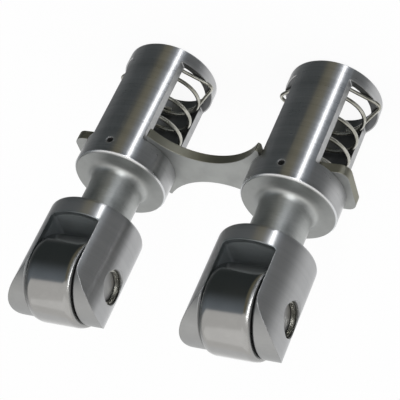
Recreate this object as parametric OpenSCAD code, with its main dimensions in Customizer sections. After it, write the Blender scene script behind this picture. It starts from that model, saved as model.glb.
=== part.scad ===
// Pair of solid roller lifters with a shared guide plate.
// The pair stands on the open ends of its barrels, rollers up, +Z along both barrels.
// Origin: middle of the footprint, at the height of the open ends.

/* [Pair] */
// Distance between the axes of the two lifters
pair_pitch = 40; // [34:0.5:50]
// Angle that the play at the guide plate lets each lifter turn, in degrees
lifter_turn = 1.5; // [0:0.5:3]

/* [Barrel] */
// Outer diameter of barrel and clevis
body_d = 21.4; // [20.8:0.1:24]
// Length of the barrel from its open end to the flat face
barrel_l = 32.7; // [31:0.1:40]
// Diameter of the barrel's bore
bore_d = 18; // [17.6:0.1:18.4]
// Depth of the bore from the open end
bore_depth = 28.4; // [27:0.1:29.5]
// Chamfer on the barrel's edges
edge_chamfer = 0.45; // [0.2:0.05:0.7]
// Width of the two strips that are left between the windows
strip_w = 12.2; // [11:0.1:12.5]
// Height of the ring below the windows
end_ring_h = 3.3; // [3:0.1:4.5]
// Height of the windows
window_h = 23.1; // [20:0.1:23.4]
// Radius in the corners of the windows
window_corner_r = 0.4; // [0.3:0.1:1]

/* [Neck and clevis] */
// Diameter of the neck between barrel and clevis
neck_d = 11.9; // [11:0.1:14]
// Length of the neck
neck_l = 12.1; // [8:0.1:16]
// Fillet where the neck meets the barrel
neck_fillet_r = 2.1; // [1:0.1:2.6]
// Fillet where the neck meets the clevis
shoulder_fillet_r = 1; // [0.5:0.1:2]
// Rounding of the clevis' shoulder
shoulder_round_r = 0.9; // [0.4:0.1:1.5]
// Height of the solid ring between the shoulder and the slot
clevis_ring_h = 4.4; // [3:0.1:7]
// Width of the slot that holds the roller
slot_w = 11.5; // [11.2:0.1:12]
// Radius in the corners of the slot
slot_corner_r = 0.7; // [0.3:0.1:1]
// Radius of the legs' round ends
leg_end_r = 9.4; // [9.1:0.05:9.6]
// How far the centre of the round ends lies below the axle
leg_end_drop = 0.85; // [0.8:0.05:1.5]
// Chamfer on the inner edge of each leg's end
leg_chamfer = 0.3; // [0.1:0.05:0.6]

/* [Roller and bearing] */
// Outer diameter of the roller
roller_d = 19.05; // [17.6:0.05:19.1]
// Gap between the roller and the end of its slot
roller_top_gap = 0.65; // [0.2:0.05:1]
// Gap between the roller and each leg
roller_side_gap = 0.3; // [0.15:0.05:0.5]
// Rounding of the roller's edges
roller_edge_r = 0.6; // [0.3:0.1:1]
// Diameter of the axle
axle_d = 7.44; // [7:0.02:8]
// Radial clearance between the axle and its holes in the legs
axle_clearance = 0.02; // [0.01:0.01:0.05]
// Depth of each end of the axle in its hole, from the outermost line of the leg
axle_end_depth = 1.95; // [1.8:0.05:2.5]
// Diameter of a bearing needle
needle_d = 1.58; // [1.5:0.01:1.6]
// Number of bearing needles round each axle
needle_count = 17; // [12:1:17]
// Radial clearance between needles, axle and roller
needle_clearance = 0.02; // [0.01:0.01:0.04]
// Gap between the needles' ends and each leg
needle_end_gap = 0.6; // [0.3:0.1:1]

/* [Rings of the axle] */
// Wire diameter of the rings that keep the axle in place
axle_ring_wire_d = 1; // [0.8:0.05:1.1]
// Share of each ring's wire that sits in its groove
ring_seat_share = 0.4; // [0.3:0.05:0.5]
// Opening of the rings, in degrees
ring_opening = 40; // [20:5:70]
// Gap between pieces that are put together loosely
loose_gap = 0.05; // [0.03:0.01:0.08]

/* [Spring clip] */
// Wire diameter of the clip that keeps the spring in the barrel
clip_wire_d = 0.8; // [0.7:0.05:1]
// How far the clip's ears would reach past the barrel with sharp bends
clip_ear_reach = 1.4; // [1:0.1:1.5]
// How far the ears lie towards the front
clip_ear_shift = 1.4; // [0:0.1:2]
// Length of wire that each ear's bend takes on either side
clip_bend_l = 1.8; // [1:0.1:2.5]
// Opening between the clip's ends, in degrees
clip_opening = 24; // [10:2:40]

/* [Spring] */
// Wire diameter of the spring
spring_wire_d = 0.9; // [0.8:0.05:1.3]
// Outer diameter of the spring
spring_d = 17.1; // [16.4:0.1:17.3]
// Number of turns that carry the load
spring_turns = 3.25; // [3:0.25:5]
// Where the spring's wire starts, in degrees from +X
spring_start = 140; // [0:5:355]

/* [Guide plate] */
// Thickness of the guide plate
plate_t = 2.2; // [1.5:0.1:3]
// Width of the plate's tongues, which pass through the windows
tongue_w = 12.2; // [11:0.1:12.4]
// How far each tongue reaches past the lifter's axis
tongue_reach = 12.3; // [11.5:0.1:16]
// Radius of the tongues' corners
tongue_corner_r = 2.2; // [1:0.1:4]
// Play between the plate's shoulders and the round corners beside the strips
shoulder_play = 0.1; // [0.1:0.05:0.6]
// Narrowest width of the plate, between the lifters
waist_w = 6.9; // [5:0.1:10]
// Radius of the plate's hollow edges
waist_r = 15.5; // [14:0.5:22]
// Width over the tips of the plate's shoulders
shoulder_w = 19.6; // [18:0.1:20]
// Chamfer on the tips of the plate's shoulders
shoulder_chamfer = 0.35; // [0.1:0.05:0.5]
// Diameter of the pushrod's hole in the plate
pushrod_hole_d = 9.8; // [9:0.1:10.4]

/* [Pushrod seat and oil ways] */
// Diameter of the pushrod seat
seat_d = 9.4; // [9:0.1:9.8]
// How far the seat stands out of the bore's floor
seat_stand_out = 1.3; // [0.8:0.1:1.6]
// Depth of the seat's socket in the bore's floor
seat_socket_depth = 3.1; // [2.5:0.1:3.3]
// Diameter of the pushrod's ball end
ball_d = 7.9; // [7.5:0.1:8.2]
// Depth of the hollow for the ball
ball_depth = 2.3; // [1.8:0.1:2.5]
// Diameter of the oil hole in the barrel
oil_hole_d = 1.4; // [1:0.1:1.6]
// Diameter of the oil way through the neck
oil_way_d = 1.6; // [1:0.1:2]

/* [Hidden] */
SIDES = ["left", "right"];
PIECES = ["body", "spring", "spring_clip", "pushrod_seat", "axle",
          "axle_ring_outer", "axle_ring_inner", "needles", "roller"];

$fn = 96;
// Overshoot of every cutting shape
cut = 1;

body_r = body_d / 2;
bore_r = bore_d / 2;
neck_r = neck_d / 2;

// Heights, from the open end up
window_top_z = end_ring_h + window_h;
shoulder_z = barrel_l + neck_l;
slot_z = shoulder_z + clevis_ring_h;
roller_r = roller_d / 2;
axle_z = slot_z + roller_top_gap + roller_r;
leg_end_z = axle_z - leg_end_drop;
body_top_z = axle_z + roller_r;

// Axle, needles and roller
axle_r = axle_d / 2;
axle_reach = body_r - axle_end_depth;
axle_hole_r = axle_r + axle_clearance;
needle_r = needle_d / 2;
needle_pitch_r = axle_r + needle_clearance + needle_r;
race_r = needle_pitch_r + needle_r + needle_clearance;
roller_w = slot_w - 2 * roller_side_gap;
needle_l = slot_w - 2 * needle_end_gap;
race_chamfer = 0.4;
axle_chamfer = 0.4;

// Rings of the axle and their grooves
axle_ring_r = axle_ring_wire_d / 2;
axle_ring_pitch_r = axle_hole_r - axle_ring_r + ring_seat_share * axle_ring_wire_d;
axle_ring_x = axle_reach + loose_gap + axle_ring_r;

// Clip: two arcs inside the strips, and between them an ear through each window
clip_r = clip_wire_d / 2;
clip_z = end_ring_h + loose_gap + clip_r;
clip_play = 0.3;
clip_arc_r = bore_r - clip_r - clip_play;
clip_arc_end = acos((strip_w / 2 - loose_gap) / clip_arc_r);
clip_ear = [body_r + clip_ear_reach, -clip_ear_shift];
bend_steps = 8;

// Spring, between the clip and the guide plate
plate_top_z = window_top_z - loose_gap;
plate_bottom_z = plate_top_z - plate_t;
wire_r = spring_wire_d / 2;
coil_r = spring_d / 2 - wire_r;
coil_low_z = clip_z + clip_r + loose_gap + wire_r;
coil_high_z = plate_bottom_z - loose_gap - wire_r;
coil_steps = 20;
wire_sides = 10;
closed_rise = spring_wire_d + loose_gap;

// Guide plate
plate_shoulder_x =
    pair_pitch / 2 - strip_w / 2 - window_corner_r - shoulder_play - shoulder_w / 2 * sin(lifter_turn);
waist_y = waist_w / 2 + waist_r;

// Pushrod seat
seat_r = seat_d / 2;
seat_z = bore_depth - seat_stand_out;
seat_top_z = bore_depth + seat_socket_depth;
seat_groove = 0.6;
cross_hole_d = 0.7;
oil_hole_z = bore_depth + oil_hole_d / 2 + 0.1;

// Puts a piece of one lifter in its place: -1 is the left one, 1 the right one.
module on_lifter(side_x) {
    translate([side_x * pair_pitch / 2, 0, 0]) rotate([0, 0, lifter_turn]) children();
}

// Lays a piece that is drawn along Z on the roller's axis, middle on the lifter's axis.
module on_axle() {
    translate([0, 0, axle_z]) rotate([0, 90, 0]) children();
}

// Rectangle with its lower left corner at the origin and round corners.
module round_rect(size, r) {
    translate([r, 0]) square([size.x - 2 * r, size.y]);
    translate([0, r]) square([size.x, size.y - 2 * r]);
    for (x = [r, size.x - r], y = [r, size.y - r]) translate([x, y]) circle(r);
}

// Half section of the turned body, from the lifter's axis outwards.
module body_section() {
    polygon([
        [0, 0],
        [body_r - edge_chamfer, 0],
        [body_r, edge_chamfer],
        [body_r, barrel_l - edge_chamfer],
        [body_r - edge_chamfer, barrel_l],
        [0, barrel_l]
    ]);
    translate([0, barrel_l - cut]) square([neck_r, neck_l + 2 * cut]);
    difference() {
        translate([0, barrel_l]) square([neck_r + neck_fillet_r, neck_fillet_r]);
        translate([neck_r + neck_fillet_r, barrel_l + neck_fillet_r]) circle(neck_fillet_r);
    }
    difference() {
        translate([0, shoulder_z - shoulder_fillet_r])
            square([neck_r + shoulder_fillet_r, shoulder_fillet_r]);
        translate([neck_r + shoulder_fillet_r, shoulder_z - shoulder_fillet_r])
            circle(shoulder_fillet_r);
    }
    translate([0, shoulder_z]) square([body_r - shoulder_round_r, body_top_z - shoulder_z]);
    translate([0, shoulder_z + shoulder_round_r])
        square([body_r, body_top_z - shoulder_z - shoulder_round_r]);
    translate([body_r - shoulder_round_r, shoulder_z + shoulder_round_r]) circle(shoulder_round_r);
}

// Windows on both sides: what lies outside the two strips is milled away.
module windows() {
    for (turn = [0, 180])
        rotate([90, 0, turn])
            translate([strip_w / 2, end_ring_h, -body_d])
                linear_extrude(2 * body_d) round_rect([body_d, window_h], window_corner_r);
}

// Slot for the roller, open at the legs' ends.
module roller_slot() {
    translate([-slot_w / 2, body_d, slot_z])
        rotate([90, 0, 0])
            linear_extrude(2 * body_d) round_rect([slot_w, body_d + roller_d], slot_corner_r);
}

// What the legs keep at their ends: round along the axle, with a chamfered inner edge.
module leg_ends() {
    translate([0, 0, leg_end_z]) rotate([0, 90, 0]) {
        for (flip = [0, 180]) rotate([flip, 0, 0]) {
            translate([0, 0, slot_w / 2 + leg_chamfer]) cylinder(h = body_d, r = leg_end_r);
            translate([0, 0, slot_w / 2])
                cylinder(h = leg_chamfer, r1 = leg_end_r - leg_chamfer, r2 = leg_end_r);
        }
    }
}

// Axle hole through both legs, with a groove for a ring and a chamfer at each end.
module axle_hole() {
    on_axle() {
        cylinder(h = 2 * body_d, r = axle_hole_r, center = true);
        for (flip = [0, 180]) rotate([flip, 0, 0]) {
            translate([0, 0, axle_ring_x])
                rotate_extrude() translate([axle_ring_pitch_r, 0]) circle(axle_ring_r + loose_gap, $fn = 32);
            translate([0, 0, body_r - edge_chamfer])
                cylinder(h = cut, r1 = axle_hole_r, r2 = axle_hole_r + cut);
        }
    }
}

// Bore from the open end, and the socket for the pushrod seat in its floor.
module barrel_bore() {
    translate([0, 0, -cut]) cylinder(h = bore_depth + cut, r = bore_r);
    translate([0, 0, -edge_chamfer])
        cylinder(h = 2 * edge_chamfer, r1 = bore_r + edge_chamfer, r2 = bore_r - edge_chamfer);
    translate([0, 0, bore_depth - cut]) cylinder(h = seat_socket_depth + loose_gap + cut, r = seat_r + loose_gap);
}

// Oil hole in the front of the barrel, and the way from the seat's socket to the roller.
module oil_ways() {
    translate([0, 0, oil_hole_z]) rotate([90, 0, 0]) cylinder(h = body_r + cut, d = oil_hole_d, $fn = 24);
    translate([0, 0, bore_depth]) cylinder(h = slot_z - bore_depth + cut, d = oil_way_d, $fn = 24);
}

// Body of a lifter: barrel, neck and clevis, turned and milled from one bar.
module lifter_body() {
    color([0.45, 0.45, 0.44])
        difference() {
            rotate_extrude() body_section();
            barrel_bore();
            windows();
            roller_slot();
            axle_hole();
            oil_ways();
            difference() {
                translate([-body_d, -body_d, leg_end_z]) cube([2 * body_d, 2 * body_d, body_d]);
                leg_ends();
            }
        }
}

// Round wire of radius r through the centres. Its sides stand along Z and along the directions
// in outwards, one for each centre.
module bent_wire(centres, outwards, r) {
    last = len(centres) - 1;
    points = [
        for (i = [0:last], k = [0:wire_sides - 1])
            let (
                around = 360 * k / wire_sides,
                side = outwards[i] * r * cos(around)
            )
            centres[i] + [side.x, side.y, r * sin(around)]
    ];
    sides = [
        for (i = [0:last - 1], k = [0:wire_sides - 1])
            let (
                a = i * wire_sides + k,
                b = i * wire_sides + (k + 1) % wire_sides
            )
            [a, b, b + wire_sides, a + wire_sides]
    ];
    first_end = [for (k = [wire_sides - 1:-1:0]) k];
    last_end = [for (k = [0:wire_sides - 1]) last * wire_sides + k];
    polyhedron(points, concat([first_end, last_end], sides), convexity = 10);
}

// Height of the spring's centre line after t turns: a closed turn, the working turns, a closed turn.
function coil_z(t) =
    t < 1 ? coil_low_z + closed_rise * t
    : t < 1 + spring_turns ?
        coil_low_z + closed_rise
        + (coil_high_z - coil_low_z - 2 * closed_rise) * (t - 1) / spring_turns
    : coil_high_z - closed_rise * (2 + spring_turns - t);

// Compression spring of one wire, with its end turns closed.
module coil_spring() {
    turns = spring_turns + 2;
    steps = ceil(turns * coil_steps);
    angles = [for (i = [0:steps]) spring_start + 360 * turns * i / steps];
    outwards = [for (angle = angles) [cos(angle), sin(angle)]];
    centres = [
        for (i = [0:steps]) [coil_r * outwards[i].x, coil_r * outwards[i].y, coil_z(turns * i / steps)]
    ];
    color([0.5, 0.5, 0.47]) bent_wire(centres, outwards, wire_r);
}

// Points of the clip's arc from one angle to another.
function clip_arc(from, to) = [
    for (i = [0:bend_steps])
        let (angle = from + (to - from) * i / bend_steps)
        clip_arc_r * [cos(angle), sin(angle)]
];

// Points of an ear's bend at a corner, between straight wires to the points before and after.
function clip_bend(before, corner, after) =
    let (
        start = corner + clip_bend_l * (before - corner) / norm(before - corner),
        end = corner + clip_bend_l * (after - corner) / norm(after - corner)
    )
    [
        for (i = [0:bend_steps])
            let (t = i / bend_steps)
            (1 - t) * (1 - t) * start + 2 * t * (1 - t) * corner + t * t * end
    ];

// Wire clip that the spring stands on. Its ears reach out through both windows and rest on
// the barrel's end ring.
module spring_clip() {
    half_gap = clip_opening / 2;
    back_right = clip_arc(90 - half_gap, clip_arc_end);
    front = clip_arc(-clip_arc_end, clip_arc_end - 180);
    back_left = clip_arc(180 - clip_arc_end, 90 + half_gap);
    left_ear = [-clip_ear.x, clip_ear.y];
    line = concat(
        back_right,
        clip_bend(back_right[bend_steps], clip_ear, front[0]),
        front,
        clip_bend(front[bend_steps], left_ear, back_left[0]),
        back_left
    );
    last = len(line) - 1;
    outwards = [
        for (i = [0:last])
            let (
                ahead = line[min(i + 1, last)] - line[max(i - 1, 0)],
                length = norm(ahead)
            )
            [ahead.y / length, -ahead.x / length]
    ];
    color([0.35, 0.35, 0.35]) bent_wire([for (p = line) [p.x, p.y, clip_z]], outwards, clip_r);
}

// Half section of the pushrod seat: a plug with a ball hollow, an oil groove and an oil hole.
module seat_section() {
    difference() {
        translate([oil_hole_d / 2, seat_z]) square([seat_r - oil_hole_d / 2, seat_top_z - seat_z]);
        translate([0, seat_z + ball_depth - ball_d / 2]) circle(d = ball_d);
        translate([seat_r - seat_groove, oil_hole_z - oil_hole_d / 2]) square([cut, oil_hole_d]);
    }
}

// Hardened seat for the pushrod's ball end, cross drilled at its oil groove.
module pushrod_seat() {
    color([0.4, 0.4, 0.42])
        difference() {
            rotate_extrude() seat_section();
            translate([0, 0, oil_hole_z]) rotate([90, 0, 0]) cylinder(h = body_r, d = cross_hole_d, $fn = 24);
        }
}

// Hardened axle, chamfered at both ends, held between its two rings.
module axle() {
    color([0.7, 0.7, 0.72])
        on_axle()
            rotate_extrude()
                polygon([
                    [0, -axle_reach],
                    [axle_r - axle_chamfer, -axle_reach],
                    [axle_r, axle_chamfer - axle_reach],
                    [axle_r, axle_reach - axle_chamfer],
                    [axle_r - axle_chamfer, axle_reach],
                    [0, axle_reach]
                ]);
}

// Open wire ring in the groove of one axle hole: -1 is the hole towards -X, 1 the one towards +X.
module axle_ring(end_x) {
    color([0.35, 0.35, 0.35])
        on_axle()
            translate([0, 0, end_x * axle_ring_x])
                rotate([0, 0, ring_opening / 2 - 180])
                    rotate_extrude(angle = 360 - ring_opening)
                        translate([axle_ring_pitch_r, 0]) circle(axle_ring_r, $fn = 32);
}

// Full ring of loose bearing needles between axle and roller.
module needles() {
    color([0.75, 0.75, 0.77])
        on_axle()
            for (i = [0:needle_count - 1])
                rotate([0, 0, 360 * i / needle_count])
                    translate([needle_pitch_r, 0, 0])
                        cylinder(h = needle_l, r = needle_r, center = true, $fn = 24);
}

// Cam roller, ground all over, with rounded outer edges and a bearing race inside.
module roller() {
    color([0.8, 0.8, 0.8])
        on_axle()
            difference() {
                rotate_extrude()
                    translate([0, -roller_w / 2]) {
                        square([roller_r - roller_edge_r, roller_w]);
                        translate([0, roller_edge_r]) square([roller_r, roller_w - 2 * roller_edge_r]);
                        for (y = [roller_edge_r, roller_w - roller_edge_r])
                            translate([roller_r - roller_edge_r, y]) circle(roller_edge_r, $fn = 32);
                    }
                cylinder(h = 2 * roller_w, r = race_r, center = true);
                for (flip = [0, 180]) rotate([flip, 0, 0])
                    translate([0, 0, roller_w / 2 - race_chamfer])
                        cylinder(h = cut, r1 = race_r, r2 = race_r + cut);
            }
}

// Middle of the guide plate, out to the tips of its shoulders.
module plate_middle() {
    x = plate_shoulder_x;
    y = shoulder_w / 2;
    c = shoulder_chamfer;
    polygon([
        [x, c - y], [x, y - c], [x - c, y], [c - x, y],
        [-x, y - c], [-x, c - y], [c - x, -y], [x - c, -y]
    ]);
}

// Outline of the guide plate: two tongues, and between them a waist with four shoulders.
module plate_outline() {
    tongue_l = pair_pitch + 2 * tongue_reach;
    difference() {
        union() {
            translate([-tongue_l / 2, -tongue_w / 2]) round_rect([tongue_l, tongue_w], tongue_corner_r);
            plate_middle();
        }
        for (side_y = [-1, 1]) translate([0, side_y * waist_y]) circle(waist_r, $fn = 180);
        for (side_x = [-1, 1]) translate([side_x * pair_pitch / 2, 0]) circle(d = pushrod_hole_d);
    }
}

// Flat plate through the windows of both lifters, which keeps their rollers in line.
module guide_plate() {
    color([0.6, 0.61, 0.58])
        translate([0, 0, plate_bottom_z]) linear_extrude(plate_t) plate_outline();
}

// One piece of the lifter on the given side.
module lifter_piece(piece, side_x) {
    on_lifter(side_x) {
        if (piece == "body") lifter_body();
        if (piece == "spring") coil_spring();
        if (piece == "spring_clip") spring_clip();
        if (piece == "pushrod_seat") pushrod_seat();
        if (piece == "axle") axle();
        if (piece == "axle_ring_outer") axle_ring(side_x);
        if (piece == "axle_ring_inner") axle_ring(-side_x);
        if (piece == "needles") needles();
        if (piece == "roller") roller();
    }
}

guide_plate();
for (s = [0:len(SIDES) - 1], piece = PIECES)
    lifter_piece(piece, 2 * s - 1);
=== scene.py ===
# Pair of solid roller lifters with their guide plate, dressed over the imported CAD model.
# Everything is in metres, in the model's own frame: barrels' open ends at z = 0, rollers up.

import math

import bpy
from mathutils import Matrix, Vector


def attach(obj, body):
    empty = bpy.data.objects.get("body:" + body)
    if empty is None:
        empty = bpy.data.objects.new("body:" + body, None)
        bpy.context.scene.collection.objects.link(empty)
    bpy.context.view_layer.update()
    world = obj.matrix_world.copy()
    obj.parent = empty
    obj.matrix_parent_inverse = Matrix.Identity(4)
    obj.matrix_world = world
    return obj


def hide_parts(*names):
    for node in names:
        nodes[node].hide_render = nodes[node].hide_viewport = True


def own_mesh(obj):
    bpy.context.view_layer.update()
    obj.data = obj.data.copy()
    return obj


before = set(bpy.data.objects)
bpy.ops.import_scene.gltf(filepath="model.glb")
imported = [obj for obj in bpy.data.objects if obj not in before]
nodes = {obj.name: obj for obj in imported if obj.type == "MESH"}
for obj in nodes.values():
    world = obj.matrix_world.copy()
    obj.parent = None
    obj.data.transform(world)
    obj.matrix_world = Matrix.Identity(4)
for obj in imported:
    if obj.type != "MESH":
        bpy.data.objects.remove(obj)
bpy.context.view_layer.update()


# Camera: a long lens in front of the pair, to its left and above it. The photograph was
# taken with the rollers towards the viewer's feet, so the camera is turned upside down.
camera = bpy.data.objects.new("camera", bpy.data.cameras.new("camera"))
bpy.context.collection.objects.link(camera)
bpy.context.scene.camera = camera
camera.data.sensor_width = 36
camera.data.lens = 135.8
camera.data.clip_start = 0.01
camera_place = Matrix.Translation((-0.1341, -0.2392, 0.2030))
camera_right = Vector((-0.8995, 0.2508, -0.3577))
camera_up = Vector((0.1340, -0.6209, -0.7723))
camera_axes = Matrix((camera_right, camera_up, camera_right.cross(camera_up)))
camera.matrix_world = camera_place @ camera_axes.transposed().to_4x4()


# A socket of a shader node that can be used in plain arithmetic. Every operator adds
# the Math node it stands for, and node() adds any other kind.
class Wire:
    def __init__(self, socket):
        self.socket = socket

    def node(self, kind, values=None, output=0, **settings):
        return add_node(self.socket.id_data, kind, values, output, **settings)

    def maths(self, operation, *values):
        return self.node("ShaderNodeMath", dict(enumerate(values)), operation=operation)

    def __add__(self, other):
        return self.maths("ADD", self, other)

    def __radd__(self, other):
        return self.maths("ADD", other, self)

    def __sub__(self, other):
        return self.maths("SUBTRACT", self, other)

    def __rsub__(self, other):
        return self.maths("SUBTRACT", other, self)

    def __mul__(self, other):
        return self.maths("MULTIPLY", self, other)

    def __rmul__(self, other):
        return self.maths("MULTIPLY", other, self)

    def __pow__(self, other):
        return self.maths("POWER", self, other)

    def __rpow__(self, other):
        return self.maths("POWER", other, self)

    def step(self, low, high):
        """0 below low, 1 above high, and smooth between them."""
        limits = {"Value": self, "From Min": low, "From Max": high}
        return self.node("ShaderNodeMapRange", limits, interpolation_type="SMOOTHSTEP")

    def mix(self, low, high):
        """The colour low where this is 0, and high where it is 1."""
        return self.node("ShaderNodeMix", {0: self, 6: low, 7: high}, 2, data_type="RGBA")

    def part(self, axis):
        """One axis of a vector."""
        return self.node("ShaderNodeSeparateXYZ", {0: self}, axis)


def add_node(tree, kind, values=None, output=0, **settings):
    new = tree.nodes.new(kind)
    for name, setting in settings.items():
        setattr(new, name, setting)
    for name, value in (values or {}).items():
        socket = new.inputs[name]
        if isinstance(value, Wire):
            tree.links.new(value.socket, socket)
        elif socket.type == "RGBA":
            socket.default_value = (*value, 1)
        else:
            socket.default_value = value
    return Wire(new.outputs[output]) if new.outputs else None


# World: a white studio. The camera sees it white. The steel mirrors white behind and above
# the pair, the dark side of the room round the camera, and a bright strip at the key lamp.
world = bpy.data.worlds.new("studio")
bpy.context.scene.world = world
bpy.context.scene.view_settings.view_transform = "Standard"
world.use_nodes = True
tree = world.node_tree
tree.nodes.clear()
direction = add_node(tree, "ShaderNodeTexCoord", output="Generated")
level = direction.node("ShaderNodeVectorMath", {0: direction, 1: (1, 1, 0)}, operation="MULTIPLY")
level = level.node("ShaderNodeVectorMath", {0: level}, operation="NORMALIZE")
rise = direction.part("Z")


def around(turn, inner, outer):
    """1 within inner degrees of a turn about z, counted from +X, and 0 beyond outer degrees."""
    turn, inner, outer = math.radians(turn), math.radians(inner), math.radians(outer)
    both = {0: level, 1: (math.cos(turn), math.sin(turn), 0)}
    towards = level.node("ShaderNodeVectorMath", both, "Value", operation="DOT_PRODUCT")
    return towards.step(math.cos(outer), math.cos(inner))


def ray(tree, kind):
    return add_node(tree, "ShaderNodeLightPath", output=f"Is {kind} Ray")


KEY_TURN = -112
ROOM_LOW, ROOM_HIGH, ROOM_FAR = (0.050, 0.058, 0.058), (0.26, 0.295, 0.33), (0.165, 0.172, 0.175)
WARM_CURTAIN = (0.235, 0.215, 0.145)
KEY_GLOW, KEY_HALO, KEY_CORE = (0.31, 0.34, 0.38), (0.75, 0.78, 0.82), (3.6, 3.6, 3.7)
WHITE, LOW_WINDOW, CEILING = (1, 1, 1), (1.5, 1.5, 1.5), (1.0, 0.98, 0.955)
FILL = (0.9, 0.9, 0.9)

shade = rise.step(-0.2, 0.55).mix(ROOM_LOW, ROOM_HIGH)
shade = around(-50, 18, 42).mix(ROOM_FAR, shade)
shade = around(-85, 1, 18).mix(shade, WARM_CURTAIN)
shade = around(KEY_TURN, 6, 24).mix(shade, KEY_GLOW)
shade = around(KEY_TURN, 2, 7).mix(shade, KEY_HALO)
shade = around(KEY_TURN, 0.5, 2.8).mix(shade, KEY_CORE)
window = around(80, 5, 16) * (1 - rise.step(-0.25, 0.0))
behind = around(100, 46, 98).mix(shade, window.mix(WHITE, LOW_WINDOW))
mirrored = rise.step(0.54, 0.60).mix(behind, CEILING)
seen = ray(tree, "Camera") + ray(tree, "Transmission")
colour = seen.mix(ray(tree, "Glossy").mix(FILL, mirrored), WHITE)
background = add_node(tree, "ShaderNodeBackground", {"Color": colour})
add_node(tree, "ShaderNodeOutputWorld", {0: background})


# Floor: a pale sheet that the pair stands on. The camera sees it almost white, with a
# faint shadow kept in it.
FLOOR_HALF, FLOOR_DROP = 4, 0.0001
FLOOR_COLOUR, FLOOR_GLOW_SHARE = (0.86, 0.86, 0.86), 0.93

corners = [(x * FLOOR_HALF, y * FLOOR_HALF, 0) for x, y in ((-1, -1), (1, -1), (1, 1), (-1, 1))]
floor_mesh = bpy.data.meshes.new("floor")
floor_mesh.from_pydata(corners, [], [(0, 1, 2, 3)])
floor = bpy.data.objects.new("floor", floor_mesh)
bpy.context.collection.objects.link(floor)
floor.location.z = -FLOOR_DROP
floor.visible_glossy = False


def new_paint(name):
    paint = bpy.data.materials.new(name)
    paint.use_nodes = True
    paint.node_tree.nodes.clear()
    return paint


floor_paint = new_paint("pale_floor")
tree = floor_paint.node_tree
seen = ray(tree, "Camera") + ray(tree, "Transmission")
sheet = seen.node("ShaderNodeBsdfDiffuse", {"Color": FLOOR_COLOUR})
glow = seen.node("ShaderNodeEmission", {"Color": WHITE, "Strength": 1.0})
surface = seen.node("ShaderNodeMixShader", {0: seen * FLOOR_GLOW_SHARE, 1: sheet, 2: glow})
surface.node("ShaderNodeOutputMaterial", {0: surface})
floor_mesh.materials.append(floor_paint)


# Lamps: a tall narrow softbox beside the camera, which draws the bright line along every
# barrel, and a large soft one above.
PAIR_MIDDLE = Vector((0, 0, 0.034))
KEY_FAR, KEY_HEIGHT, KEY_SIZE, KEY_POWER = 0.6, 0.25, (0.02, 0.6), 1.5
OVERHEAD_PLACE, OVERHEAD_SIZE, OVERHEAD_POWER = (0.1, 0.15, 0.9), (0.8, 0.8), 0.5


def softbox(name, place, size, power):
    data = bpy.data.lights.new(name, "AREA")
    data.shape = "RECTANGLE"
    data.size, data.size_y = size
    data.energy = power
    lamp = bpy.data.objects.new(name, data)
    bpy.context.collection.objects.link(lamp)
    lamp.location = place
    lamp.rotation_mode = "QUATERNION"
    lamp.rotation_quaternion = (Vector(place) - PAIR_MIDDLE).to_track_quat("Z", "Y")


key_angle = math.radians(KEY_TURN)
key_place = (KEY_FAR * math.cos(key_angle), KEY_FAR * math.sin(key_angle), KEY_HEIGHT)
softbox("key_strip", key_place, KEY_SIZE, KEY_POWER)
softbox("overhead", OVERHEAD_PLACE, OVERHEAD_SIZE, OVERHEAD_POWER)


# Lifter bodies: one bar of alloy steel each, turned, milled open at the windows and the slot,
# hardened, and ground on the outside. The neck and the flat face keep a satin finish.
SIDES = {"left": -1, "right": 1}
LIFTER_X = 0.020
TURN = math.radians(1.5)
AXLE_Z = 0.059375
OIL_Z = 0.0292

# Where one finish, or a patch of painted shade or painted highlight, gives way to the next. Each
# pair is the stretch over which it changes:
# heights from the open end, radii from the axis, distances from the slot's middle plane.
FLAT_FACE_Z, FACE_END_Z = (0.0324, 0.0326), (0.0329, 0.0334)
RIM_LOW_Z, RIM_HIGH_Z = (0.03215, 0.03225), (0.0328, 0.0330)
NECK_END_Z, CLEVIS_Z = (0.0450, 0.0456), (0.044, 0.048)
GROUND_R = (0.01035, 0.01050)
BORE_R, BORE_END_Z = (0.0089, 0.0092), (0.0320, 0.0324)
STRIP_CUT, STRIP_SKIN = (0.00604, 0.00607), (0.00613, 0.00616)
WINDOW_TOP_Z = (0.0264, 0.0265)
WINDOW_SILL_LOW, WINDOW_SILL_HIGH = (0.0031, 0.0032), (0.0034, 0.0035)
WINDOW_WALL = (0.0062, 0.0063)
SLOT_WALL, SLOT_Z, SLOT_MOUTH_R = (0.00576, 0.00584), (0.0488, 0.0492), (0.0094, 0.0098)
LEG_END_Z, LEG_END_SLANT = (0.0560, 0.0562), (0.15, 0.35)
BARREL_FRONT_Y = (-0.009, -0.008)
AXLE_HOLE_R, AXLE_HOLE_END = 0.00378, (0.0101, 0.0106)
OIL_HOLE_R, DIMPLE_R = 0.00070, 0.00095
HOLE_EDGE = 0.0001

GROUND_DARK, GROUND_LIGHT = (0.37, 0.375, 0.38), (0.53, 0.535, 0.54)
SATIN_DARK, SATIN_LIGHT = (0.38, 0.392, 0.385), (0.49, 0.503, 0.494)
# Painted shade on the flat face and the legs' slanted ends, and a painted highlight on the rim.
FACE_PAINTED_SHADE, RIM_PAINTED_HIGHLIGHT, LEG_END_PAINTED_SHADE = (0.31, 0.32, 0.316), (0.66, 0.67, 0.68), (0.32, 0.325, 0.325)
# Painted shade in the bore and on the window sills, in the slot, and in the holes.
BORE_AND_SILL_PAINTED_SHADE, SLOT_PAINTED_SHADE, HOLE_PAINTED_SHADE = (0.15, 0.155, 0.16), (0.29, 0.315, 0.325), (0.30, 0.305, 0.31)

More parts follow.
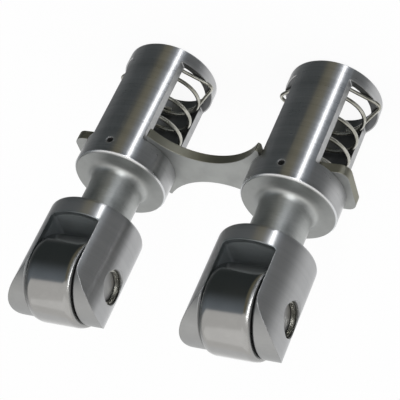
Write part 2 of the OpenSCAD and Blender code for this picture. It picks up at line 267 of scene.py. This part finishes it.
# Marks of the tools, per metre, close set in one direction and long drawn in the other. Then
# how rough each finish is, how deep its grain goes, and how far its edges are broken.
FINE_RINGS, FINE_RUN, BROAD_RINGS, BROAD_RUN = 2600, 40, 500, 25
CLOUDS, GRIT_ACROSS, GRIT_UP = 300, 600, 3600
GROUND_ROUGH, CLEVIS_ROUGHER, CLEVIS_CALMER = 0.30, 0.10, 0.55
SATIN_ROUGH, RIM_SMOOTHER, SLOT_ROUGHER = 0.45, 0.20, 0.25
GROUND_GRAIN, GROUND_EDGE = 0.000028, 0.00018
SATIN_GRAIN, SATIN_EDGE, DIMPLE_SINK = 0.000016, 0.00022, 8
BRUSHED, ALONG_AXIS = 1.0, 0.25


def lifter_place(tree, side):
    """Shader coordinates in a lifter's own frame: across the slot, along it, up, from the axis."""
    spot = add_node(tree, "ShaderNodeTexCoord", output="Object")
    axis = {"Vector": spot, "Center": (side * LIFTER_X, 0, 0), "Axis": (0, 0, 1), "Angle": -TURN}
    turned = spot.node("ShaderNodeVectorRotate", axis)
    across = turned.part("X") - side * LIFTER_X
    along = turned.part("Y")
    up = turned.part("Z")
    out = (across * across + along * along) ** 0.5
    return across, along, up, out


def noise(spot, scale, detail, roughness=0.6):
    """Cloudy noise over a place, from 0 to 1."""
    values = {"Vector": spot, "Scale": scale, "Detail": detail, "Roughness": roughness}
    return spot.node("ShaderNodeTexNoise", values)


def marks(x, y, z, detail=4.0):
    """Fine marks of a tool: noise over three coordinates that are stretched one by one."""
    return noise(x.node("ShaderNodeCombineXYZ", {"X": x, "Y": y, "Z": z}), 1.0, detail)


def metal(colour, roughness, grain, depth, round_edge=0.0, anisotropy=0.0, rotation=0.0):
    """Shader of bare metal whose grain stands out by depth, its edges broken by round_edge."""
    bump = {"Strength": 0.5, "Distance": depth, "Height": grain}
    if round_edge:
        bump["Normal"] = grain.node("ShaderNodeBevel", {"Radius": round_edge}, samples=6)
    return grain.node(
        "ShaderNodeBsdfPrincipled",
        {
            "Base Color": colour,
            "Metallic": 1.0,
            "Roughness": roughness,
            "Anisotropic": anisotropy,
            "Anisotropic Rotation": rotation,
            "Normal": grain.node("ShaderNodeBump", bump),
        },
    )


def dress(name, paint):
    node = nodes[name]
    node.data.materials.clear()
    node.data.materials.append(paint)


def between(wire, start, end):
    """1 between two edges, each given as the pair of values over which it fades."""
    return wire.step(*start) * (1 - wire.step(*end))


def drilled(u, v, radius):
    """1 inside a round hole of that radius, 0 outside."""
    return 1 - ((u * u + v * v) ** 0.5).step(radius, radius + HOLE_EDGE)


for side_name, side in SIDES.items():
    paint = new_paint(side_name + "_body_steel")
    across, along, up, out = lifter_place(paint.node_tree, side)
    wall = across.maths("ABSOLUTE", across)

    ground = out.step(*GROUND_R)
    # The slot between the legs, which gets a darker, cooler painted shade.
    slot = (1 - wall.step(*SLOT_WALL)) * up.step(*SLOT_Z)
    slot_depth = slot * (1 - out.step(*SLOT_MOUTH_R))
    neck = between(up, FLAT_FACE_Z, NECK_END_Z) * (1 - ground)
    face = between(up, FLAT_FACE_Z, FACE_END_Z) * (1 - ground)
    rim = between(up, RIM_LOW_Z, RIM_HIGH_Z) * ground
    bore = (1 - out.step(*BORE_R)) * (1 - up.step(*BORE_END_Z))
    strip_side = between(wall, STRIP_CUT, STRIP_SKIN) * (1 - up.step(*WINDOW_TOP_Z))
    # The window sill, which gets painted shade.
    window_sill = between(up, WINDOW_SILL_LOW, WINDOW_SILL_HIGH) * wall.step(*WINDOW_WALL)
    window_sill = window_sill * (1 - ground)
    slant = add_node(paint.node_tree, "ShaderNodeNewGeometry", output="True Normal").part("Z")
    # The legs' slanted end faces, which get painted shade.
    leg_end = slant.step(*LEG_END_SLANT) * up.step(*LEG_END_Z)
    front = 1 - along.step(*BARREL_FRONT_Y)
    dimple = drilled(across, up - OIL_Z, DIMPLE_R) * front
    # The drilled holes, which get painted shade.
    axle_hole = drilled(along, up - AXLE_Z, AXLE_HOLE_R) * (1 - wall.step(*AXLE_HOLE_END))
    holes = axle_hole + drilled(across, up - OIL_Z, OIL_HOLE_R) * front

    rings = marks(out * FINE_RINGS, up * FINE_RINGS, across * FINE_RUN)
    broad_rings = marks(out * BROAD_RINGS, up * BROAD_RINGS, across * BROAD_RUN, 2.0)
    cloud = marks(across * CLOUDS, along * CLOUDS, up * CLOUDS, 3.0)
    grit = marks(across * GRIT_ACROSS, along * GRIT_ACROSS, up * GRIT_UP, 3.0)
    clevis = up.step(*CLEVIS_Z)
    calm = 1 - clevis * CLEVIS_CALMER

    tone = (rings + broad_rings - 1) * 0.5 * calm + 0.5
    skin = tone.step(0.2, 0.8).mix(GROUND_DARK, GROUND_LIGHT)
    satin_tone = (cloud + grit - 1) * 0.7 + 0.5
    # The flat face gets painted shade over the satin tone.
    soft = face.mix(satin_tone.step(0.2, 0.8).mix(SATIN_DARK, SATIN_LIGHT), FACE_PAINTED_SHADE)
    # The rim is smoother, and its bright colour is a painted highlight; the legs' slanted ends get
    # painted shade.
    outside = leg_end.mix(rim.mix(neck.mix(skin, soft), RIM_PAINTED_HIGHLIGHT), LEG_END_PAINTED_SHADE)
    # Painted shade in the bore and on the window sills.
    inside = (bore + window_sill).step(0.1, 0.9).mix(outside, BORE_AND_SILL_PAINTED_SHADE)
    # Painted shade in the holes and in the slot.
    colour = holes.step(0.1, 0.9).mix(slot.mix(inside, SLOT_PAINTED_SHADE), HOLE_PAINTED_SHADE)

    fine = rings.step(0.25, 0.75) + grit.step(0.25, 0.75) - 1
    uneven = (fine * 0.035 + (cloud - 0.5) * 0.05) * calm
    rough = GROUND_ROUGH + clevis * CLEVIS_ROUGHER + uneven
    height = (rings * 0.6 + cloud * 0.2 + grit * 0.3) * calm
    turned = metal(colour, rough, height, GROUND_GRAIN, GROUND_EDGE, BRUSHED, ALONG_AXIS)

    uneven = (cloud - 0.5) * 0.1 + (grit - 0.5) * 0.2
    satin_rough = SATIN_ROUGH - rim * RIM_SMOOTHER + slot_depth * SLOT_ROUGHER + uneven
    satin_height = grit * 0.5 + cloud * 0.4 + rings * 0.5 - dimple * DIMPLE_SINK
    satin = metal(colour, satin_rough, satin_height, SATIN_GRAIN, SATIN_EDGE)

    not_ground = neck + slot + bore + holes + strip_side + rim + leg_end + window_sill + dimple
    layers = {0: not_ground.step(0.2, 0.8), 1: turned, 2: satin}
    surface = height.node("ShaderNodeMixShader", layers)
    surface.node("ShaderNodeOutputMaterial", {0: surface})
    dress(side_name + "_body", paint)


# Pushrod seats: plugs of bearing steel with a ball hollow, hardened and ground, and pressed
# into the floor of the bore.
SEAT_TINT, SEAT_ROUGH = (0.36, 0.36, 0.37), 0.35
ROUND_SHOULDER, SHOULDER_ROUGHER = (0.0042, 0.0049), 0.12
HONED_LINES, HONED_RUN, HONED_CLOUDS, HONED_GRAIN = 3200, 30, 260, 0.000003


def bearing_steel(name, side, tint, rough_base):
    paint = new_paint(name)
    across, along, up, _ = lifter_place(paint.node_tree, side)
    lines = marks(across * HONED_LINES, along * HONED_RUN, up * HONED_RUN, 3.0)
    cloud = marks(across * HONED_CLOUDS, along * HONED_CLOUDS, up * HONED_CLOUDS, 3.0)
    colour = cloud.step(0.3, 0.7).mix([c * 0.94 for c in tint], tint)
    shoulder = across.maths("ABSOLUTE", across).step(*ROUND_SHOULDER)
    uneven = (lines - 0.5) * 0.05 + (cloud - 0.5) * 0.05
    rough = rough_base + shoulder * SHOULDER_ROUGHER + uneven
    surface = metal(colour, rough, lines, HONED_GRAIN)
    surface.node("ShaderNodeOutputMaterial", {0: surface})
    return paint


for side_name, side in SIDES.items():
    paint = bearing_steel(side_name + "_seat_steel", side, SEAT_TINT, SEAT_ROUGH)
    dress(side_name + "_pushrod_seat", paint)


# Cam rollers: bearing steel, hardened and ground all over, with a slightly crowned tread and
# round edges. Each turns on a full ring of loose needles round its axle.
ROLLER_R, ROLLER_STEPS, PROFILE_STEPS = 0.009525, 144, 8
RACE_R, RACE_CHAMFER = 0.00534, 0.0003
CROWN_START, CROWN_END, CROWN_FALL = 0.0038, 0.0051, 160
EDGE_R, SHARP_FROM = 0.00055, math.radians(30)
ROLLER_TINT, ROLLER_ROUGH = (0.34, 0.34, 0.335), 0.15
PIN_TINT, PIN_ROUGH = (0.30, 0.30, 0.30), 0.28


def lifter_point(side, x, y, z):
    """A point of a lifter's own frame, in the frame of the pair."""
    c, s = math.cos(TURN), math.sin(TURN)
    return Vector((side * LIFTER_X + x * c - y * s, x * s + y * c, z))


def mesh_piece(name, body, slot_name, points, faces, paint):
    mesh = bpy.data.meshes.new(name)
    mesh.from_pydata(points, [], faces)
    mesh.materials.append(paint)
    piece = bpy.data.objects.new(name, mesh)
    bpy.context.collection.objects.link(piece)
    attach(piece, body)
    return piece


def roller_profile():
    """Half-widths and radii of the roller's section: tread, round edges, flat sides and race."""
    half = []
    for i in range(PROFILE_STEPS + 1):
        x = CROWN_START + (CROWN_END - CROWN_START) * i / PROFILE_STEPS
        half.append((x, ROLLER_R - CROWN_FALL * (x - CROWN_START) ** 2))
    lean = math.atan(2 * CROWN_FALL * (CROWN_END - CROWN_START))
    centre_x = CROWN_END - EDGE_R * math.sin(lean)
    centre_r = half[-1][1] - EDGE_R * math.cos(lean)
    for i in range(1, PROFILE_STEPS + 1):
        turn = lean + (math.pi / 2 - lean) * i / PROFILE_STEPS
        half.append((centre_x + EDGE_R * math.sin(turn), centre_r + EDGE_R * math.cos(turn)))
    side_x = half[-1][0]
    half += [(side_x, RACE_R + RACE_CHAMFER), (side_x - RACE_CHAMFER, RACE_R)]
    return half + [(-x, r) for x, r in reversed(half)]


def roller_mesh(side):
    """Points and faces of the section above, turned round the axle."""
    profile = roller_profile()
    count = len(profile)
    points, faces = [], []
    for i in range(ROLLER_STEPS):
        turn = math.tau * i / ROLLER_STEPS
        c, s = math.cos(turn), math.sin(turn)
        points += [lifter_point(side, x, r * c, AXLE_Z + r * s) for x, r in profile]
        a, b = i * count, (i + 1) % ROLLER_STEPS * count
        for k in range(count):
            n = (k + 1) % count
            faces.append((a + k, b + k, b + n, a + n))
    return points, faces


for side_name, side in SIDES.items():
    paint = bearing_steel(side_name + "_roller_steel", side, ROLLER_TINT, ROLLER_ROUGH)
    name, body = side_name + "_crowned_roller", side_name + "_cam_roller"
    piece = mesh_piece(name, body, "roller_steel", *roller_mesh(side), paint)
    piece.data.shade_smooth()
    piece.data.set_sharp_from_angle(angle=SHARP_FROM)
    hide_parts(side_name + "_roller")
    pins = bearing_steel(side_name + "_pin_steel", side, PIN_TINT, PIN_ROUGH)
    dress(side_name + "_needles", pins)
    dress(side_name + "_axle", pins)


# Axle rings: a spiral ring of flat spring wire, two turns, snapped into a groove at each
# end of the axle. Its turns show as bright arcs down in the hole.
RING_R, RING_STEPS = 0.00364, 120
RING_TURNS, RING_START = 2.03, 0.6
RING_X, RING_LIFT = 0.00888, 0.00040
LIFT_FROM, LIFT_SHARE = 0.46, 0.08
RING_SECTION = ((-0.00042, 0), (-0.00038, 0.00036), (0.00042, 0.00038), (0.00044, 0))
WIRE_DARK, WIRE_LIGHT = (0.34, 0.335, 0.29), (0.50, 0.495, 0.45)
WIRE_CLOUDS, WIRE_ROUGH, DRAWN_GRAIN = 420, 0.27, 0.00001

wire_paint = new_paint("spring_wire_steel")
spot = add_node(wire_paint.node_tree, "ShaderNodeTexCoord", output="Object")
cloud = noise(spot, WIRE_CLOUDS, 4)
colour = cloud.step(0.3, 0.7).mix(WIRE_DARK, WIRE_LIGHT)
surface = metal(colour, WIRE_ROUGH + (cloud - 0.5) * 0.2, cloud, DRAWN_GRAIN)
surface.node("ShaderNodeOutputMaterial", {0: surface})


def swept(rings):
    """Points and faces of a tube through rings of points, closed flat at both ends."""
    count = len(rings[0])
    last = (len(rings) - 1) * count
    points = [p for ring in rings for p in ring]
    faces = [tuple(range(count))[::-1], tuple(last + k for k in range(count))]
    for i in range(len(rings) - 1):
        for k in range(count):
            a, b = i * count + k, i * count + (k + 1) % count
            faces.append((a, b, b + count, a + count))
    return points, faces


def spiral_ring(side, end):
    """Rings of points along the flat wire, at one end of the axle."""
    rings = []
    for i in range(RING_STEPS + 1):
        turn = RING_TURNS * math.tau * i / RING_STEPS + RING_START
        c, s = math.cos(turn), math.sin(turn)
        x = RING_X + RING_LIFT * min(1, max(0, (i / RING_STEPS - LIFT_FROM) / LIFT_SHARE))
        ring = [
            lifter_point(side, end * (x + dx), (RING_R + dr) * c, AXLE_Z + (RING_R + dr) * s)
            for dr, dx in RING_SECTION
        ]
        rings.append(ring if end > 0 else ring[::-1])
    return rings


for side_name, side in SIDES.items():
    for end_name, end in {"outer": side, "inner": -side}.items():
        name, body = f"{side_name}_spiral_ring_{end_name}", side_name + "_lifter"
        mesh = swept(spiral_ring(side, end))
        piece = mesh_piece(name, body, "ring_steel", *mesh, wire_paint)
        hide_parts(f"{side_name}_axle_ring_{end_name}")


# Guide plate: cut from sheet steel and pushed through the windows of both barrels. Its flat
# faces are left matt, and its cut edges are darker and warmer.
PLATE_DARK, PLATE_LIGHT = (0.305, 0.315, 0.31), (0.365, 0.377, 0.37)
PLATE_EDGE = (0.25, 0.245, 0.20)
PLATE_SPECKS, PLATE_CLOUDS, PLATE_ROUGH = 1500, 220, 0.48
PLATE_GRAIN, PLATE_BREAK = 0.00001, 0.0003

paint = new_paint("plate_steel")
spot = add_node(paint.node_tree, "ShaderNodeTexCoord", output="Object")
facing = add_node(paint.node_tree, "ShaderNodeNewGeometry", output="Normal").part("Z")
flat = facing.maths("ABSOLUTE", facing).step(0.3, 0.8)
grain = noise(spot, PLATE_SPECKS, 4)
cloud = noise(spot, PLATE_CLOUDS, 3, 0.5)
colour = flat.mix(PLATE_EDGE, cloud.step(0.3, 0.7).mix(PLATE_DARK, PLATE_LIGHT))
rough = PLATE_ROUGH + (grain - 0.5) * 0.1 + (cloud - 0.5) * 0.08
surface = metal(colour, rough, grain, PLATE_GRAIN, PLATE_BREAK)
surface.node("ShaderNodeOutputMaterial", {0: surface})
dress("guide_plate", paint)


# Springs: round drawn wire wound with closed ends, between the guide plate and the clip.
# The wire starts a quarter turn late, so that its end lies on the barrel's far side.
SPRING_WIRE_R, COIL_R = 0.00045, 0.0081
LOW_Z, HIGH_Z = 0.00465, 0.02365
TURNS, CLOSED_RISE, START = 3.25, 0.0003, math.radians(140)
WIRE_START, SPRING_STEPS, WIRE_SIDES = 0.25, 420, 14


def bent_wire(centres, outwards, radius):
    """Rings of points round a wire's centres, its sides along z and along outwards."""
    rings = []
    for centre, outward in zip(centres, outwards):
        ring = []
        for k in range(WIRE_SIDES):
            turn = math.tau * k / WIRE_SIDES
            rise = Vector((0, 0, radius * math.sin(turn)))
            ring.append(centre + outward * (radius * math.cos(turn)) + rise)
        rings.append(ring[::-1])
    return rings


def coil_height(t):
    """Height of the wire's centre after t turns, of which the first and the last are closed."""
    if t < 1:
        return LOW_Z + CLOSED_RISE * t
    if t < 1 + TURNS:
        return LOW_Z + CLOSED_RISE + (HIGH_Z - LOW_Z - 2 * CLOSED_RISE) * (t - 1) / TURNS
    return HIGH_Z - CLOSED_RISE * (2 + TURNS - t)


def coil_point(side, t):
    turn = math.tau * t + START
    return lifter_point(side, COIL_R * math.cos(turn), COIL_R * math.sin(turn), coil_height(t))


wound = TURNS + 2 - WIRE_START
turns = [WIRE_START + wound * i / SPRING_STEPS for i in range(SPRING_STEPS + 1)]
for side_name, side in SIDES.items():
    centres = [coil_point(side, t) for t in turns]
    outwards = [(c - Vector((side * LIFTER_X, 0, c.z))).normalized() for c in centres]
    mesh = swept(bent_wire(centres, outwards, SPRING_WIRE_R))
    name, body = side_name + "_wire_spring", side_name + "_lifter"
    piece = mesh_piece(name, body, "spring_steel", *mesh, wire_paint)
    piece.data.shade_smooth()
    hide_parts(side_name + "_spring")
    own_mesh(piece)


# Spring clips: drawn wire bent into a loop with two ears, which reach out through the
# barrel's windows and rest on its end ring. The clip stays there by its own tension.
CLIP_WIRE_R, CLIP_Z = 0.0004, 0.00375
ARC_R, ARC_END, ARC_STEPS = 0.0083, math.radians(43.2), 24
OPENING_START, OPENING_END = math.radians(78), math.radians(102)
EAR_X, EAR_Y, BEND, BEND_STEPS = 0.0121, -0.0014, 0.0018, 16


def clip_arc(start, end):
    turns = [start + (end - start) * i / ARC_STEPS for i in range(ARC_STEPS + 1)]
    return [Vector((ARC_R * math.cos(turn), ARC_R * math.sin(turn), CLIP_Z)) for turn in turns]


def clip_ear(before, side_x, after):
    """The bend at an ear's tip, between straight wires to the points before and after."""
    corner = Vector((side_x * EAR_X, EAR_Y, CLIP_Z))
    start = corner + (before - corner).normalized() * BEND
    end = corner + (after - corner).normalized() * BEND
    steps = [i / BEND_STEPS for i in range(BEND_STEPS + 1)]
    return [start * (1 - t) ** 2 + corner * 2 * t * (1 - t) + end * t**2 for t in steps]


back_right = clip_arc(OPENING_START, ARC_END)
front = clip_arc(-ARC_END, ARC_END - math.pi)
back_left = clip_arc(math.pi - ARC_END, OPENING_END)
line = back_right + clip_ear(back_right[-1], 1, front[0])
line += front + clip_ear(front[-1], -1, back_left[0]) + back_left
for side_name, side in SIDES.items():
    centres = [lifter_point(side, *p) for p in line]
    last = len(centres) - 1
    ahead = [centres[min(i + 1, last)] - centres[max(i - 1, 0)] for i in range(last + 1)]
    outwards = [Vector((a.y, -a.x, 0)).normalized() for a in ahead]
    mesh = swept(bent_wire(centres, outwards, CLIP_WIRE_R))
    name, body = side_name + "_wire_clip", side_name + "_lifter"
    piece = mesh_piece(name, body, "ring_steel", *mesh, wire_paint)
    piece.data.shade_smooth()
    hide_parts(side_name + "_spring_clip")
